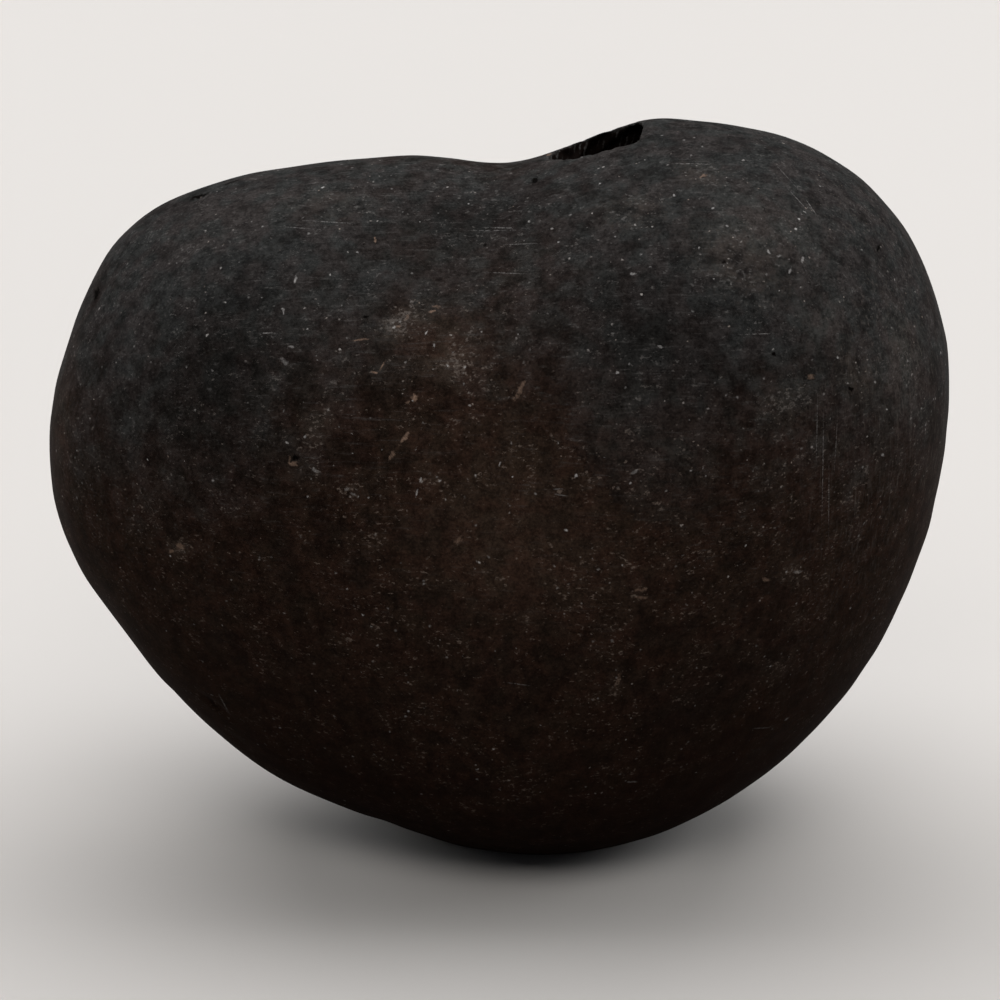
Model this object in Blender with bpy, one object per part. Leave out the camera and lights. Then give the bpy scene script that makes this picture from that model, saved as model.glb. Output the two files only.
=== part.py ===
"""A fossil ammonite stone: a black, river-worn nodule that formed round an ammonite.

The shell itself is gone. What is left of it is its mould, a ribbed tunnel whose mouth opens on the
crown of the stone, behind the crest that someone in front of it sees.

Lengths are in metres. +X is to the right and +Y away from someone who faces the stone, and +Z is up.
The origin is the middle of the small worn flat that the stone stands on.
"""

import math

import bmesh
import bpy
from mathutils import Vector

MM = 0.001

# The stone before its swellings is an ellipsoid with these half sizes.
HALF_WIDTH = 45.0 * MM
HALF_DEPTH = 28.0 * MM
HALF_HEIGHT = 36.4 * MM

# The worn flat lies this far below the ellipsoid's middle and to the right of it.
FLAT_BELOW_MIDDLE = 36.3 * MM
FLAT_RIGHT_OF_MIDDLE = 3.4 * MM
STONE_MIDDLE = Vector((-FLAT_RIGHT_OF_MIDDLE, 0.0, FLAT_BELOW_MIDDLE))

# Waves round the outline as seen from the front: (crests, height, where the first crest points).
# An outline direction is in degrees, 0 to the right and 90 up. The waves fade towards front and back.
OUTLINE_WAVES = {
    "egg": (1, 1.9 * MM, 24),
    "heart": (3, 3.9 * MM, 121),
    "corners": (4, 1.0 * MM, 185),
    "waver": (5, 0.6 * MM, -121),
}

# Rounded swellings, and hollows where the height is negative: (bearing, rise, height, spread).
# Bearing 0 is to the right, 90 to the back and -90 to the front. Rise is above the horizontal.
SWELLINGS = {
    "left shoulder": (170, 36, 2.0 * MM, 12),
    "dip above the shoulder": (163, 52, -0.2 * MM, 13),
    "crown left of the mouth": (136, 72, 2.1 * MM, 15),
    "crown right of the mouth": (32, 66, 1.4 * MM, 9),
    "right lobe": (22, 52, 0.3 * MM, 12),
    "right cheek below": (-18, -53, -0.3 * MM, 16),
    "left heel": (-166, -46, 3.2 * MM, 22),
    "flat of the front": (-90, 8, -1.2 * MM, 42),
    "right front lobe": (-50, 25, 0.9 * MM, 26),
    "back of the crown": (75, 20, 1.0 * MM, 34),
    "left back hollow": (130, -10, -1.3 * MM, 36),
    "right back hollow": (60, -30, -0.8 * MM, 30),
}

# The tunnel that the shell left. It enters at the mouth, heads right and down at the dive angle,
# bends further down on an arc as the coil did, drifts a little forward and ends in a rounded wall.
MOUTH_FROM_MIDDLE = Vector((9.5 * MM, 6.0 * MM, 35.0 * MM))
TUNNEL_DIVE = math.radians(42)
TUNNEL_BEND_RADIUS = 15.0 * MM
TUNNEL_LENGTH = 21.0 * MM
TUNNEL_ROUND_END = 6.0 * MM
TUNNEL_OVERRUN = 8.0 * MM
TUNNEL_DRIFT_FORWARD = 0.12

# Half sizes of the tunnel's section, at the mouth and at its widest inside.
MOUTH_HALF_HEIGHT = 4.0 * MM
MOUTH_HALF_WIDTH = 4.4 * MM
INNER_HALF_HEIGHT = 5.0 * MM
INNER_HALF_WIDTH = 5.6 * MM
WIDEST_AT = 9.0 * MM

# The roof is wider than the floor by this share. An exponent under 1 makes the roof flatter.
ROOF_WIDER = 0.1
ROOF_EXPONENT = 0.6

# The ribs of the shell are printed across the tunnel's walls.
RIB_PITCH = 1.5 * MM
RIB_DEPTH = 0.35 * MM
RINGS_PER_RIB = 4
SIDES = 24

ICOSPHERE_STEPS = 5


def direction(bearing, rise):
    """Unit vector from a bearing and a rise in degrees."""
    turn = math.radians(bearing)
    tilt = math.radians(rise)
    return Vector((math.cos(turn) * math.cos(tilt), math.sin(turn) * math.cos(tilt), math.sin(tilt)))


def wave_height(d):
    """Sum of the outline waves in direction d."""
    side = math.hypot(d.x, d.z)
    angle = math.atan2(d.z, d.x)
    return sum(
        height * side**crests * math.cos(crests * angle - math.radians(first))
        for crests, height, first in OUTLINE_WAVES.values()
    )


def swelling_height(d):
    """Sum of the swellings in direction d. Each fades with the square of the angle from its middle."""
    total = 0.0
    for bearing, rise, height, spread in SWELLINGS.values():
        away = math.degrees(d.angle(direction(bearing, rise)))
        total += height * math.exp(-((away / spread) ** 2))
    return total


def stone_radius(d):
    """Distance from the stone's middle to its surface, in the direction of the unit vector d."""
    squares = (d.x / HALF_WIDTH) ** 2 + (d.y / HALF_DEPTH) ** 2 + (d.z / HALF_HEIGHT) ** 2
    return 1 / math.sqrt(squares) + wave_height(d) + swelling_height(d)


def material(name, colour, roughness):
    """Plain stone finish with the given linear colour."""
    made = bpy.data.materials.new(name)
    made.use_nodes = True
    shader = made.node_tree.nodes["Principled BSDF"]
    shader.inputs["Base Color"].default_value = (*colour, 1.0)
    shader.inputs["Roughness"].default_value = roughness
    shader.inputs["Metallic"].default_value = 0.0
    return made


def mesh_object(name, mesh_data):
    """New object in the scene from a bmesh, which is freed."""
    mesh = bpy.data.meshes.new(name)
    mesh_data.to_mesh(mesh)
    mesh_data.free()
    made = bpy.data.objects.new(name, mesh)
    bpy.context.scene.collection.objects.link(made)
    return made


def stone_body():
    """The worn stone without its tunnel: a warped icosphere, cut flat underneath."""
    bm = bmesh.new()
    bmesh.ops.create_icosphere(bm, subdivisions=ICOSPHERE_STEPS, radius=1.0)
    for vertex in bm.verts:
        d = vertex.co.normalized()
        vertex.co = STONE_MIDDLE + d * stone_radius(d)
    everything = list(bm.verts) + list(bm.edges) + list(bm.faces)
    bmesh.ops.bisect_plane(bm, geom=everything, plane_co=(0, 0, 0), plane_no=(0, 0, -1), clear_outer=True)
    rim = [edge for edge in bm.edges if edge.is_boundary]
    bmesh.ops.contextual_create(bm, geom=rim)
    bmesh.ops.recalc_face_normals(bm, faces=bm.faces)
    return mesh_object("ammonite_stone", bm)


def tunnel_frame(along):
    """Middle of the tunnel at a distance inside the mouth, and the way that it heads there."""
    mouth = STONE_MIDDLE + MOUTH_FROM_MIDDLE
    dive = TUNNEL_DIVE + max(0.0, along) / TUNNEL_BEND_RADIUS
    heading = Vector((math.cos(dive), 0.0, -math.sin(dive)))
    if along <= 0:
        return mouth + heading * along, heading
    bend = Vector((
        math.sin(dive) - math.sin(TUNNEL_DIVE),
        0.0,
        math.cos(dive) - math.cos(TUNNEL_DIVE),
    ))
    drift = Vector((0.0, -TUNNEL_DRIFT_FORWARD * along, 0.0))
    return mouth + bend * TUNNEL_BEND_RADIUS + drift, heading


def tunnel_half_sizes(along):
    """Half height and half width of the tunnel, which swells inside the mouth and closes at its end."""
    swell = math.sin(0.5 * math.pi * min(1.0, max(0.0, along) / WIDEST_AT))
    half_height = MOUTH_HALF_HEIGHT + (INNER_HALF_HEIGHT - MOUTH_HALF_HEIGHT) * swell
    half_width = MOUTH_HALF_WIDTH + (INNER_HALF_WIDTH - MOUTH_HALF_WIDTH) * swell
    into_end = max(0.0, along - (TUNNEL_LENGTH - TUNNEL_ROUND_END)) / TUNNEL_ROUND_END
    closing = math.sqrt(max(0.0, 1 - into_end**2))
    rib = RIB_DEPTH * 0.5 * (1 - math.cos(2 * math.pi * along / RIB_PITCH)) if along > 0 else 0.0
    return half_height * closing - rib * closing, half_width * closing - rib * closing


def tunnel_ring(bm, along):
    """One closed ring of the tunnel. Its section is an egg, wider and flatter at the roof."""
    middle, heading = tunnel_frame(along)
    across = Vector((0.0, 1.0, 0.0))
    roofwards = heading.cross(across)
    half_height, half_width = tunnel_half_sizes(along)
    ring = []
    for side in range(SIDES):
        turn = 2 * math.pi * side / SIDES
        up = math.sin(turn)
        if up > 0:
            up = up**ROOF_EXPONENT
        out = math.cos(turn) * (1 + ROOF_WIDER * math.sin(turn))
        ring.append(bm.verts.new(middle + roofwards * up * half_height + across * out * half_width))
    return [bm.edges.new((ring[i], ring[(i + 1) % SIDES])) for i in range(SIDES)]


def tunnel_cutter():
    """The tunnel as a closed solid, from outside the crown to its rounded end."""
    bm = bmesh.new()
    step = RIB_PITCH / RINGS_PER_RIB
    stations = [-TUNNEL_OVERRUN, -TUNNEL_OVERRUN / 2]
    inside = int((TUNNEL_LENGTH - step) / step)
    stations += [step * i for i in range(inside + 1)]
    rings = [tunnel_ring(bm, along) for along in stations]
    for near, far in zip(rings, rings[1:]):
        bmesh.ops.bridge_loops(bm, edges=near + far)
    for end in (rings[0], rings[-1]):
        bmesh.ops.contextual_create(bm, geom=end)
    bmesh.ops.recalc_face_normals(bm, faces=bm.faces)
    cutter = mesh_object("tunnel_cutter", bm)
    cutter.hide_render = True
    cutter.display_type = "WIRE"
    return cutter


def main():
    for old in list(bpy.data.objects):
        bpy.data.objects.remove(old)
    stone = stone_body()
    stone.data.materials.append(material("black_stone", (0.020, 0.016, 0.014), 0.5))
    cut = stone.modifiers.new("tunnel", "BOOLEAN")
    cut.operation = "DIFFERENCE"
    cut.solver = "EXACT"
    cut.object = tunnel_cutter()
    stone.data.shade_smooth()
    stone.data.set_sharp_from_angle(angle=math.radians(40))


main()
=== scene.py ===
# %% [markdown]
# # A black river stone with the mould of an ammonite in it
#
# The real object is one piece: a nodule that grew round an ammonite and was then rolled in a river
# until it was smooth. The shell has gone, and its mould shows as a ribbed tunnel in the crown.
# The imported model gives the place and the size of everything. This script makes the fine surface
# and the finish, in metres, in the same frame.

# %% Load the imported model
import math

import bpy
import numpy as np
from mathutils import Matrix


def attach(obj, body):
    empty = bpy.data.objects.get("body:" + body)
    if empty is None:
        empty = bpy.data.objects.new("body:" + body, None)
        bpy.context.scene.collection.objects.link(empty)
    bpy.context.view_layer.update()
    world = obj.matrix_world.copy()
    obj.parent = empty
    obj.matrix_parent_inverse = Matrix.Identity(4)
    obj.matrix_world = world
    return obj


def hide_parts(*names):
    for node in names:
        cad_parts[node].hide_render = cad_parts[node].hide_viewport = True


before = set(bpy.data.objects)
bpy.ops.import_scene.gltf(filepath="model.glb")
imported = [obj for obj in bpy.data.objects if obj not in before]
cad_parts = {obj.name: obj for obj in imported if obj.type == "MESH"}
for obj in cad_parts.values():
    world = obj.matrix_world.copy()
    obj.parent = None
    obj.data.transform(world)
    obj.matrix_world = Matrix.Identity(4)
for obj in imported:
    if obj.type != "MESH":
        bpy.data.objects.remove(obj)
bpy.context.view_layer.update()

MM = 0.001

# %% [markdown]
# ## The camera
#
# The photograph looks down on the stone at about 25 degrees, from far enough away that the stone
# shows hardly any perspective. A long lens does the same here. Its focal length follows from what the
# picture has to hold: a strip 100 mm wide at the stone's middle. The camera is made first, because
# the marks on the stone are placed as it sees them.

# %% Camera
FLAT_BELOW_MIDDLE = 36.3 * MM
FLAT_RIGHT_OF_MIDDLE = 3.4 * MM
STONE_MIDDLE = np.array([-FLAT_RIGHT_OF_MIDDLE, 0.0, FLAT_BELOW_MIDDLE])

CAMERA_RISE = math.radians(25)
CAMERA_DISTANCE = 450 * MM
PICTURE_WIDTH = 100 * MM
AIM_BELOW_MIDDLE = 1.0 * MM
SENSOR = 36.0
NEAR_CLIP = 10 * MM


def add_object(name, data):
    """A new object in the scene."""
    made = bpy.data.objects.new(name, data)
    bpy.context.scene.collection.objects.link(made)
    return made


picture_right = np.array([1.0, 0.0, 0.0])
picture_up = np.array([0.0, math.sin(CAMERA_RISE), math.cos(CAMERA_RISE)])
looking = np.array([0.0, math.cos(CAMERA_RISE), -math.sin(CAMERA_RISE)])
aim = STONE_MIDDLE - picture_up * AIM_BELOW_MIDDLE
eye = aim - looking * CAMERA_DISTANCE

camera_data = bpy.data.cameras.new("camera")
camera_data.sensor_width = SENSOR
camera_data.lens = SENSOR * CAMERA_DISTANCE / PICTURE_WIDTH
camera_data.clip_start = NEAR_CLIP
camera = add_object("camera", camera_data)
camera.location = eye
camera.rotation_euler = (math.pi / 2 - CAMERA_RISE, 0.0, 0.0)
bpy.context.scene.camera = camera
print("lens in mm:", round(camera_data.lens, 1))

# %% [markdown]
# ## The worn body
#
# A sphere that is pushed in and out along its own radii can take any shape without overhangs, and a
# river stone has none. So the body is one formula: the distance from the stone's middle to its
# surface in a given direction. It adds an ellipsoid, a few waves round the outline, and rounded
# swellings. Sculpting would give the same stone, but a formula can be read, and it repeats exactly.

# %% Distance from the middle to the surface
HALF_SIZES = np.array([45.0, 28.0, 36.4]) * MM

# Waves round the outline: crests, height, direction of the first crest in degrees from the right.
OUTLINE_WAVES = {
    "egg": (1, 1.9 * MM, 24),
    "heart": (3, 3.9 * MM, 121),
    "corners": (4, 1.0 * MM, 185),
    "waver": (5, 0.6 * MM, -121),
}

# Swellings and hollows: bearing (0 right, 90 back, -90 front), rise, height, spread in degrees.
SWELLINGS = {
    "left shoulder": (170, 36, 2.0 * MM, 12),
    "fullness above the shoulder": (163, 52, 0.7 * MM, 14),
    "crown left of the mouth": (136, 72, 2.1 * MM, 15),
    "crown right of the mouth": (32, 66, 1.4 * MM, 9),
    "right lobe": (22, 52, 0.3 * MM, 12),
    "right cheek below": (-18, -53, -0.3 * MM, 16),
    "left heel": (-166, -46, 3.2 * MM, 22),
    "flat of the front": (-90, 8, -1.2 * MM, 42),
    "right front lobe": (-50, 25, 0.9 * MM, 26),
    "back of the crown": (75, 20, 1.0 * MM, 34),
    "left back hollow": (130, -10, -1.3 * MM, 36),
    "right back hollow": (60, -30, -0.8 * MM, 30),
}


def direction(bearing, rise):
    """Unit vector from a bearing and a rise in degrees."""
    turn = math.radians(bearing)
    tilt = math.radians(rise)
    return np.array([math.cos(turn) * math.cos(tilt), math.sin(turn) * math.cos(tilt), math.sin(tilt)])


def unit(vectors):
    """The same vectors with a length of one."""
    return vectors / np.linalg.norm(vectors, axis=-1, keepdims=True)


def stone_radius(ways):
    """Distance from the stone's middle to its surface for each unit vector in ways.

    Radius = ellipsoid + waves + swellings. A wave is height * side^crests * cos(crests * (angle - first)),
    where side and angle are the way's polar coordinates as seen from the front. A swelling is
    height * exp(-(angle from its middle / spread)^2).
    """
    radius = 1 / np.sqrt(((ways / HALF_SIZES) ** 2).sum(axis=-1))
    side = np.hypot(ways[..., 0], ways[..., 2])
    angle = np.arctan2(ways[..., 2], ways[..., 0])
    for crests, height, first in OUTLINE_WAVES.values():
        radius = radius + height * side**crests * np.cos(crests * angle - math.radians(first))
    for bearing, rise, height, spread in SWELLINGS.values():
        away = np.degrees(np.arccos(np.clip(ways @ direction(bearing, rise), -1, 1)))
        radius = radius + height * np.exp(-((away / spread) ** 2))
    return radius


def depth_below_surface(points):
    """How far each point lies inside the body, measured along its own radius."""
    from_middle = points - STONE_MIDDLE
    return stone_radius(unit(from_middle)) - np.linalg.norm(from_middle, axis=-1)


# %% [markdown]
# ## The mould of the shell
#
# The coil of an ammonite is a tube that bends in one plane, and ribs run across it. Its mould is the
# same tube, hollow. A section is carried along an arc: two parameters, the distance along the arc and
# the turn round the section, give every point of the wall. A boolean cut would make the same hole, but
# one continuous grid over stone and tunnel has an even surface and a rim that can be worn round.

# %% Wall of the tunnel
MOUTH = STONE_MIDDLE + np.array([9.5, 6.0, 35.0]) * MM
TUNNEL_DIVE = math.radians(42)
TUNNEL_BEND_RADIUS = 15.0 * MM
TUNNEL_LENGTH = 21.0 * MM
TUNNEL_ROUND_END = 6.0 * MM
TUNNEL_DRIFT_FORWARD = 0.12
MOUTH_HALF_HEIGHT = 4.0 * MM
MOUTH_HALF_WIDTH = 4.4 * MM
INNER_HALF_HEIGHT = 5.0 * MM
INNER_HALF_WIDTH = 5.6 * MM
WIDEST_AT = 9.0 * MM
ROOF_WIDER = 0.1
ROOF_EXPONENT = 0.5
CORNER_EXPONENT = 0.75
FLOOR_LOWER = 1.1
RIB_PITCH = 1.5 * MM
RIB_DEPTH = 0.35 * MM


def tunnel_wall(along, turn):
    """Points of the tunnel's wall, from the distance inside the mouth and the turn round the section.

    Middle line = straight outside the mouth, then an arc that bends down, with a small drift forward.
    Section = an egg whose half sizes swell inside the mouth and close at the end like a quarter circle.
    Exponents below 1 on sine and cosine flatten its roof and square its corner on the near side.
    Ribs stand in from the wall as raised cosines along the tunnel.
    """
    inside = np.maximum(along, 0.0)
    outside = np.minimum(along, 0.0)
    dive = TUNNEL_DIVE + inside / TUNNEL_BEND_RADIUS
    start = math.cos(TUNNEL_DIVE), math.sin(TUNNEL_DIVE)
    middle_x = MOUTH[0] + outside * start[0] + TUNNEL_BEND_RADIUS * (np.sin(dive) - start[1])
    middle_z = MOUTH[2] - outside * start[1] + TUNNEL_BEND_RADIUS * (np.cos(dive) - start[0])
    middle_y = MOUTH[1] - TUNNEL_DRIFT_FORWARD * inside
    swell = np.sin(0.5 * math.pi * np.minimum(1.0, inside / WIDEST_AT))
    into_end = np.clip((along - TUNNEL_LENGTH + TUNNEL_ROUND_END) / TUNNEL_ROUND_END, 0, 1)
    closing = np.sqrt(1 - into_end**2)
    rib = np.where(along > 0, RIB_DEPTH * 0.5 * (1 - np.cos(2 * math.pi * along / RIB_PITCH)), 0.0)
    half_height = (MOUTH_HALF_HEIGHT + (INNER_HALF_HEIGHT - MOUTH_HALF_HEIGHT) * swell - rib) * closing
    half_width = (MOUTH_HALF_WIDTH + (INNER_HALF_WIDTH - MOUTH_HALF_WIDTH) * swell - rib) * closing
    up = np.sin(turn)
    out = np.cos(turn)
    near_corner = (up > 0) & (out < 0)
    out = np.where(near_corner, -np.abs(out) ** CORNER_EXPONENT, out) * (1 + ROOF_WIDER * up) * half_width
    up = np.where(up > 0, np.abs(up) ** ROOF_EXPONENT, FLOOR_LOWER * up) * half_height
    return np.stack([middle_x + up * np.sin(dive), middle_y + out, middle_z + up * np.cos(dive)], axis=-1)


# %% [markdown]
# ## One grid over all of it
#
# The columns of the grid fan out from the mouth to the far side of the stone, and run down into the
# tunnel. Where the tunnel's wall leaves the stone is found by halving an interval again and again, for
# all columns at once. Rows lie close together at that rim, so that it can be rounded by averaging each
# row with its neighbours, as wear does.

# %% Rows and columns
COLUMNS = 360
OUTSIDE_ROWS = 160
TUNNEL_ROWS = 94
END_ROWS = 10
RIM_STEP = 0.2
RIM_GROWTH = 1.15
HALVINGS = 40
RIM_SEARCH = 8.0 * MM

turns = np.linspace(0, 2 * math.pi, COLUMNS, endpoint=False)


def growing_steps(rows):
    """Positions from 0 to 1 whose steps start small and grow to an even size."""
    steps = np.minimum(RIM_STEP * RIM_GROWTH ** np.arange(rows), 1.0)
    return np.concatenate([[0.0], np.cumsum(steps) / steps.sum()])


def rim_distance():
    """Where the tunnel's wall crosses the surface, as a distance along the tunnel for each column."""
    high = np.full(COLUMNS, -RIM_SEARCH)
    low = np.full(COLUMNS, RIM_SEARCH)
    for _ in range(HALVINGS):
        half = 0.5 * (high + low)
        buried = depth_below_surface(tunnel_wall(half, turns)) > 0
        low = np.where(buried, half, low)
        high = np.where(buried, high, half)
    return 0.5 * (high + low)


rim = rim_distance()
rim_points = tunnel_wall(rim, turns)
print("rim reaches from", np.round(rim_points.min(0) / MM, 1), "to", np.round(rim_points.max(0) / MM, 1))

# %% Directions of the outside rows
to_mouth = unit(MOUTH - STONE_MIDDLE)
rim_ways = unit(rim_points - STONE_MIDDLE)
rim_lean = np.arccos(np.clip(rim_ways @ to_mouth, -1, 1))
sideways = unit(rim_ways - (rim_ways @ to_mouth)[:, None] * to_mouth)
share = growing_steps(OUTSIDE_ROWS)[1:-1]
lean = rim_lean + (math.pi - rim_lean) * share[:, None]
outside_ways = np.cos(lean)[..., None] * to_mouth + np.sin(lean)[..., None] * sideways

# %% [markdown]
# ## Wear and relief
#
# Water wears a stone smooth, but never even. Broad, shallow facets and small knocks are left, and they
# show where light grazes the surface. The facets are a sum of plane waves with random directions,
# which is smooth noise that works on whole arrays. Knocks are shallow dents in the shape of a
# stretched bell. Those that the photograph shows are placed one by one, as the camera sees them.

# %% Smooth noise
SEED = 7
WAVES = 28
SHORTEST_WAVE = 0.7
LONGEST_WAVE = 1.5
rng = np.random.default_rng(SEED)


def smooth_noise(points, wavelength):
    """Noise of about unit size: a sum of sine waves with random directions, lengths and starts."""
    ways = unit(rng.normal(size=(WAVES, 3)))
    lengths = wavelength * rng.uniform(SHORTEST_WAVE, LONGEST_WAVE, WAVES)
    starts = rng.uniform(0, 2 * math.pi, WAVES)
    total = np.zeros(points.shape[:-1])
    for way, length, start in zip(ways, lengths, starts):
        total += np.sin(2 * math.pi * (points @ way) / length + start)
    return total * math.sqrt(2 / WAVES)


# %% Points on the stone as the camera sees them
PICTURE_PIXELS = 1000
PIXEL = PICTURE_WIDTH / PICTURE_PIXELS
SEARCH_DEPTH = 45 * MM
SEARCH_STEPS = 3601


def seen_at(x, y):
    """The point of the surface that the camera sees at pixel x, y, counted from the top left corner.

    It walks along the pixel's ray and takes the first step that lies inside the body.
    """
    right = (x - PICTURE_PIXELS / 2) * PIXEL
    up = (PICTURE_PIXELS / 2 - y) * PIXEL
    ray = unit(looking * CAMERA_DISTANCE + picture_right * right + picture_up * up)
    reach = CAMERA_DISTANCE + np.linspace(-SEARCH_DEPTH, SEARCH_DEPTH, SEARCH_STEPS)
    buried = depth_below_surface(eye + reach[:, None] * ray) > 0
    return eye + reach[np.argmax(buried)] * ray


def seen_axes(slope):
    """Three directions for a mark that slopes by some degrees in the picture: along, across, towards us."""
    turn = math.radians(slope)
    lengthways = picture_right * math.cos(turn) + picture_up * math.sin(turn)
    across = picture_up * math.cos(turn) - picture_right * math.sin(turn)
    return lengthways, across, -looking


# %% Dents
# Each dent: pixel x, pixel y, slope in degrees, half length, half width and depth in mm.
DENTS = {
    "knock on the left edge": (97, 292, 80, 1.3, 0.7, 0.45),
    "crack on the left shoulder": (199, 196, 12, 1.6, 0.5, 0.30),
    "crease at the lower left": (216, 706, -55, 2.6, 0.6, 0.35),
    "hollow of the brown pit": (294.6, 459, 0, 0.6, 0.6, 0.30),
    "dimple on the right lobe": (879, 247, 0, 0.6, 0.5, 0.30),
    "scoop before the mouth": (539, 180, 0, 1.4, 0.9, 0.12),
}
# Random ones: range of the length in mm, of the width over the length, of the depth over the width.
RANDOM_DENTS = 60
DENT_LENGTHS = (0.8, 3.5)
DENT_WIDTHS = (0.35, 1.0)
DENT_DEPTHS = (0.04, 0.16)


def bell(points, centre, along, length, width):
    """A stretched bell: 1 at its centre, falling with the square of the distance along and across."""
    offset = points - centre
    lengthways = offset @ along
    across = np.linalg.norm(offset - lengthways[..., None] * along, axis=-1)
    return np.exp(-((lengthways / length) ** 2) - (across / width) ** 2)


def dent_depth(points):
    """Total depth of the placed dents and of small random ones at each point."""
    total = np.zeros(points.shape[:-1])
    for x, y, slope, length, width, depth in DENTS.values():
        lengthways = seen_axes(slope)[0]
        total += depth * MM * bell(points, seen_at(x, y), lengthways, length * MM, width * MM)
    for _ in range(RANDOM_DENTS):
        way = unit(rng.normal(size=3))
        centre = STONE_MIDDLE + way * stone_radius(way)
        along = unit(np.cross(way, rng.normal(size=3)))
        length = rng.uniform(*DENT_LENGTHS) * MM
        width = length * rng.uniform(*DENT_WIDTHS)
        depth = rng.uniform(*DENT_DEPTHS) * width
        total += depth * bell(points, centre, along, length, width)
    return total


# %% Outside of the stone
FACET_HEIGHT = 0.10 * MM
FACET_LENGTH = 17 * MM
RIPPLE_HEIGHT = 0.025 * MM
RIPPLE_LENGTH = 5 * MM
FLAT_EDGE = 0.6 * MM


def worn(points, ways):
    """The surface with its facets, ripples and dents, rounded into the flat that it stands on.

    The flat is a soft limit on height: (z + sqrt(z^2 + edge^2)) / 2 stays above zero.
    """
    relief = FACET_HEIGHT * smooth_noise(points, FACET_LENGTH)
    relief = relief + RIPPLE_HEIGHT * smooth_noise(points, RIPPLE_LENGTH)
    moved = points + ways * (relief - dent_depth(points))[..., None]
    height = moved[..., 2]
    moved[..., 2] = 0.5 * (height + np.sqrt(height**2 + FLAT_EDGE**2))
    return moved


bare_points = STONE_MIDDLE + outside_ways * stone_radius(outside_ways)[..., None]
far_pole = STONE_MIDDLE - to_mouth * stone_radius(-to_mouth)
outside = np.concatenate([bare_points, np.broadcast_to(far_pole, (1, COLUMNS, 3))])
outside_ways = np.concatenate([outside_ways, np.broadcast_to(-to_mouth, (1, COLUMNS, 3))])
outside = worn(outside, outside_ways)

# %% Tunnel rows
# The rows go evenly from the rim to the round end, and there by equal angles of the quarter circle. The
# wall is a little rough, but less and less so towards its last point.
MOULD_ROUGHNESS = 0.06 * MM
MOULD_GRAIN = 1.3 * MM
END_FADE = 8
body_share = growing_steps(TUNNEL_ROWS)[1:]
body_along = rim + (TUNNEL_LENGTH - TUNNEL_ROUND_END - rim) * body_share[:, None]
end_angles = np.linspace(0, 0.5 * math.pi, END_ROWS + 1)[1:, None]
end_along = TUNNEL_LENGTH - TUNNEL_ROUND_END + TUNNEL_ROUND_END * np.sin(end_angles)
along = np.concatenate([body_along, np.broadcast_to(end_along, (END_ROWS, COLUMNS))])
tunnel = tunnel_wall(along, np.broadcast_to(turns, along.shape))
from_centre = unit(tunnel - tunnel.mean(axis=1, keepdims=True) + 1e-9)
roughness_left = 1 - np.linspace(0, 1, len(tunnel)) ** END_FADE
bumps = MOULD_ROUGHNESS * smooth_noise(tunnel, MOULD_GRAIN) * roughness_left[:, None]
tunnel = tunnel + from_centre * bumps[..., None]

# %% Join the rows and wear the rim
# Chips: where a noise is high, the rows near the rim sink towards the middle of the stone.
RIM_PASSES = 4
RIM_REACH = 7
CHIP_DEPTH = 0.16 * MM
CHIP_LENGTH = 1.3 * MM
CHIP_REACH = 0.35 * MM

grid = np.concatenate([outside[::-1], rim_points[None], tunnel])
rim_row = len(outside)
from_rim = np.linalg.norm(grid - rim_points, axis=-1)
chips = CHIP_DEPTH * np.clip(smooth_noise(grid, CHIP_LENGTH), 0, 2) * np.exp(-((from_rim / CHIP_REACH) ** 2))
grid = grid - chips[..., None] * unit(grid - STONE_MIDDLE)
near_rim = slice(rim_row - RIM_REACH, rim_row + RIM_REACH + 1)
for _ in range(RIM_PASSES):
    before = grid[rim_row - RIM_REACH - 1:rim_row + RIM_REACH]
    after = grid[rim_row - RIM_REACH + 1:rim_row + RIM_REACH + 2]
    fade = 1 - np.abs(np.linspace(-1, 1, 2 * RIM_REACH + 1))[:, None, None]
    grid[near_rim] = grid[near_rim] + fade * (0.25 * before - 0.5 * grid[near_rim] + 0.25 * after)

# %% [markdown]
# A mesh needs its points in one list and its faces as numbers in that list. Both ends of the grid
# shrink to one point, so those rows become single points with a fan of triangles, and the mesh is closed.


# %% Build the mesh
def closed_mesh(name, rows):
    """Mesh from rows of points round a closed section, whose first and last row are single points."""
    count, columns = rows.shape[0] - 2, rows.shape[1]
    points = np.concatenate([rows[:1, 0], rows[1:-1].reshape(-1, 3), rows[-1:, 0]])
    cell = np.arange(count * columns).reshape(count, columns) + 1
    right = np.roll(cell, -1, axis=1)
    quads = np.stack([cell[:-1], right[:-1], right[1:], cell[1:]], axis=-1).reshape(-1, 4)
    first = np.stack([np.zeros(columns, int), right[0], cell[0]], axis=-1)
    last = np.stack([cell[-1], right[-1], np.full(columns, len(points) - 1)], axis=-1)
    mesh = bpy.data.meshes.new(name)
    mesh.from_pydata(points, [], first.tolist() + quads.tolist() + last.tolist())
    mesh.shade_smooth()
    return add_object(name, mesh)


def volume(mesh):
    """Volume inside a closed mesh, negative where its faces point inwards."""
    mesh.calc_loop_triangles()
    corners = np.array([tuple(t.vertices) for t in mesh.loop_triangles])
    at = np.empty(len(mesh.vertices) * 3)
    mesh.vertices.foreach_get("co", at)
    a, b, c = (at.reshape(-1, 3)[corners[:, i]] for i in range(3))
    return float((a * np.cross(b, c)).sum() / 6)


stone = closed_mesh("worn_stone", grid)
if volume(stone.data) < 0:
    stone.data.flip_normals()
print("triangles:", 2 * len(stone.data.polygons) - 2 * COLUMNS)
print("volume in cubic cm:", round(volume(stone.data) * 1e6, 1))

# %% Nearness to the rim and depth as numbers on the mesh
# Two numbers for each point: how near the rim is, which places the painted highlight on the rim, and
# how many millimetres deep in the tunnel.
RIM_HIGHLIGHT_REACH = 0.22 * MM
rim_highlight = np.exp(-((from_rim / RIM_HIGHLIGHT_REACH) ** 2))
tunnel_depth = np.concatenate([np.zeros((rim_row + 1, COLUMNS)), (along - rim) / MM])


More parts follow.
